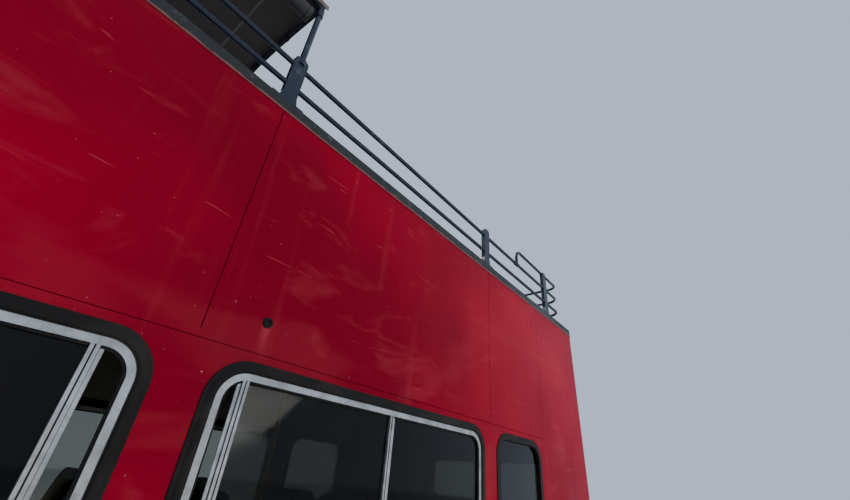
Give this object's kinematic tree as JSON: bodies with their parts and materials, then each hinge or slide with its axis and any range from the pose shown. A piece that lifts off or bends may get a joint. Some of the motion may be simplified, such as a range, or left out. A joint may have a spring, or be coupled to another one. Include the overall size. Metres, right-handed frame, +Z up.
{
  "type": "open top double decker bus",
  "caption": "Open top double decker sightseeing bus with twin rear wheels, guard rails and canopy on the upper deck, folding entrance door, side exit and tail engine lid.",
  "frame": {"origin": "on the ground under the middle of the vehicle's box", "axes": "+X to the front, +Y to the left, +Z up"},
  "size_m": [10.7, 2.99, 4.4531],
  "materials": {
    "red_paint": "gloss",
    "black_trim": "satin",
    "rail_paint": "satin",
    "window_rubber": "matt",
    "window_aluminium": "satin",
    "glazing": "gloss",
    "chassis_steel": "matt",
    "cast_parts": "matt",
    "wheel_rim": "satin",
    "tyre_rubber": "matt",
    "floor_covering": "matt",
    "inner_steel": "satin",
    "seat_shell": "satin",
    "seat_fabric": "matt",
    "canopy_fabric": "matt",
    "lamp_lens": "gloss",
    "cab_plastic": "matt",
    "grab_rail": "gloss"
  },
  "bodies": {
    "body": {"body_glass": "glazing", "bumpers": "black_trim", "cab_fittings": "cab_plastic", "canopy": "canopy_fabric", "canopy_frame": "rail_paint", "chassis_frame": "chassis_steel", "curtain_rolls": "canopy_fabric", "deck_capping": "black_trim", "engine_block": "cast_parts", "front_axle": "cast_parts", "front_lower": "red_paint", "front_upper": "red_paint", "grab_poles": "grab_rail", "guard_rails": "rail_paint", "lamps": "lamp_lens", "lower_floor": "floor_covering", "mirrors": "black_trim", "rear_axle": "cast_parts", "rear_lower": "red_paint", "rear_upper": "red_paint", "seat_legs": "inner_steel", "seats_lower": "seat_fabric", "seats_upper": "seat_shell", "side_lower_left": "red_paint", "side_lower_right": "red_paint", "side_upper_left": "red_paint", "side_upper_right": "red_paint", "staircase": "inner_steel", "upper_floor": "floor_covering", "wheel_boxes": "inner_steel", "window_frames": "window_aluminium", "window_rubbers": "window_rubber"},
    "steer_left": {"knuckle_left": "cast_parts"},
    "steer_right": {"knuckle_right": "cast_parts"},
    "track_rod_body": {"track_rod": "cast_parts"},
    "wheel_front_left": {"tyre_front_left": "tyre_rubber", "rim_front_left": "wheel_rim"},
    "wheel_front_right": {"tyre_front_right": "tyre_rubber", "rim_front_right": "wheel_rim"},
    "wheel_rear_left": {"tyres_rear_left": "tyre_rubber", "rims_rear_left": "wheel_rim"},
    "wheel_rear_right": {"tyres_rear_right": "tyre_rubber", "rims_rear_right": "wheel_rim"},
    "door_leaf_1": {"door_leaf_rear": "black_trim", "door_glass_rear": "glazing"},
    "door_leaf_2": {"door_leaf_front": "black_trim", "door_glass_front": "glazing"},
    "exit_door": {"emergency_door": "red_paint", "emergency_glass": "glazing"},
    "engine_cover": {"engine_lid": "red_paint"}
  },
  "joints": [
    {"name": "steer_left_turn", "type": "hinge", "parent": "body", "child": "steer_left", "pos_m": [2.71, 0.925, 0.52], "axis": [0, 0, 1], "range_deg": [-38, 38]},
    {"name": "steer_right_turn", "type": "hinge", "parent": "body", "child": "steer_right", "pos_m": [2.71, -0.925, 0.52], "axis": [0, 0, 1], "range_deg": [-38, 38]},
    {"name": "track_rod_pin", "type": "hinge", "parent": "steer_left", "child": "track_rod_body", "pos_m": [2.54, 0.925, 0.372], "axis": [0, 0, 1], "range_deg": [-38, 38]},
    {"name": "wheel_front_left_spin", "type": "hinge", "parent": "steer_left", "child": "wheel_front_left", "pos_m": [2.71, 1.095, 0.52], "axis": [0, 1, 0], "continuous": true},
    {"name": "wheel_front_right_spin", "type": "hinge", "parent": "steer_right", "child": "wheel_front_right", "pos_m": [2.71, -1.095, 0.52], "axis": [0, 1, 0], "continuous": true},
    {"name": "wheel_rear_left_spin", "type": "hinge", "parent": "body", "child": "wheel_rear_left", "pos_m": [-2.93, 0.935, 0.52], "axis": [0, 1, 0], "continuous": true},
    {"name": "wheel_rear_right_spin", "type": "hinge", "parent": "body", "child": "wheel_rear_right", "pos_m": [-2.93, -0.935, 0.52], "axis": [0, 1, 0], "continuous": true},
    {"name": "door_swing", "type": "hinge", "parent": "body", "child": "door_leaf_1", "pos_m": [3.428, 1.225, 1.25], "axis": [0, 0, -1], "range_deg": [0, 88]},
    {"name": "door_fold", "type": "hinge", "parent": "door_leaf_1", "child": "door_leaf_2", "pos_m": [4.02, 1.247, 1.25], "axis": [0, 0, -1], "range_deg": [-176, 0]},
    {"name": "exit_swing", "type": "hinge", "parent": "body", "child": "exit_door", "pos_m": [-0.288, -1.2595, 1.25], "axis": [0, 0, 1], "range_deg": [0, 100]},
    {"name": "engine_cover_lift", "type": "hinge", "parent": "body", "child": "engine_cover", "pos_m": [-5.296, 0, 1.344], "axis": [0, 1, 0], "range_deg": [0, 80]}
  ],
  "couplings": [
    {"joint": "steer_right_turn", "follows": "steer_left_turn", "ratio": 1},
    {"joint": "track_rod_pin", "follows": "steer_left_turn", "ratio": -1},
    {"joint": "door_fold", "follows": "door_swing", "ratio": -2}
  ]
}
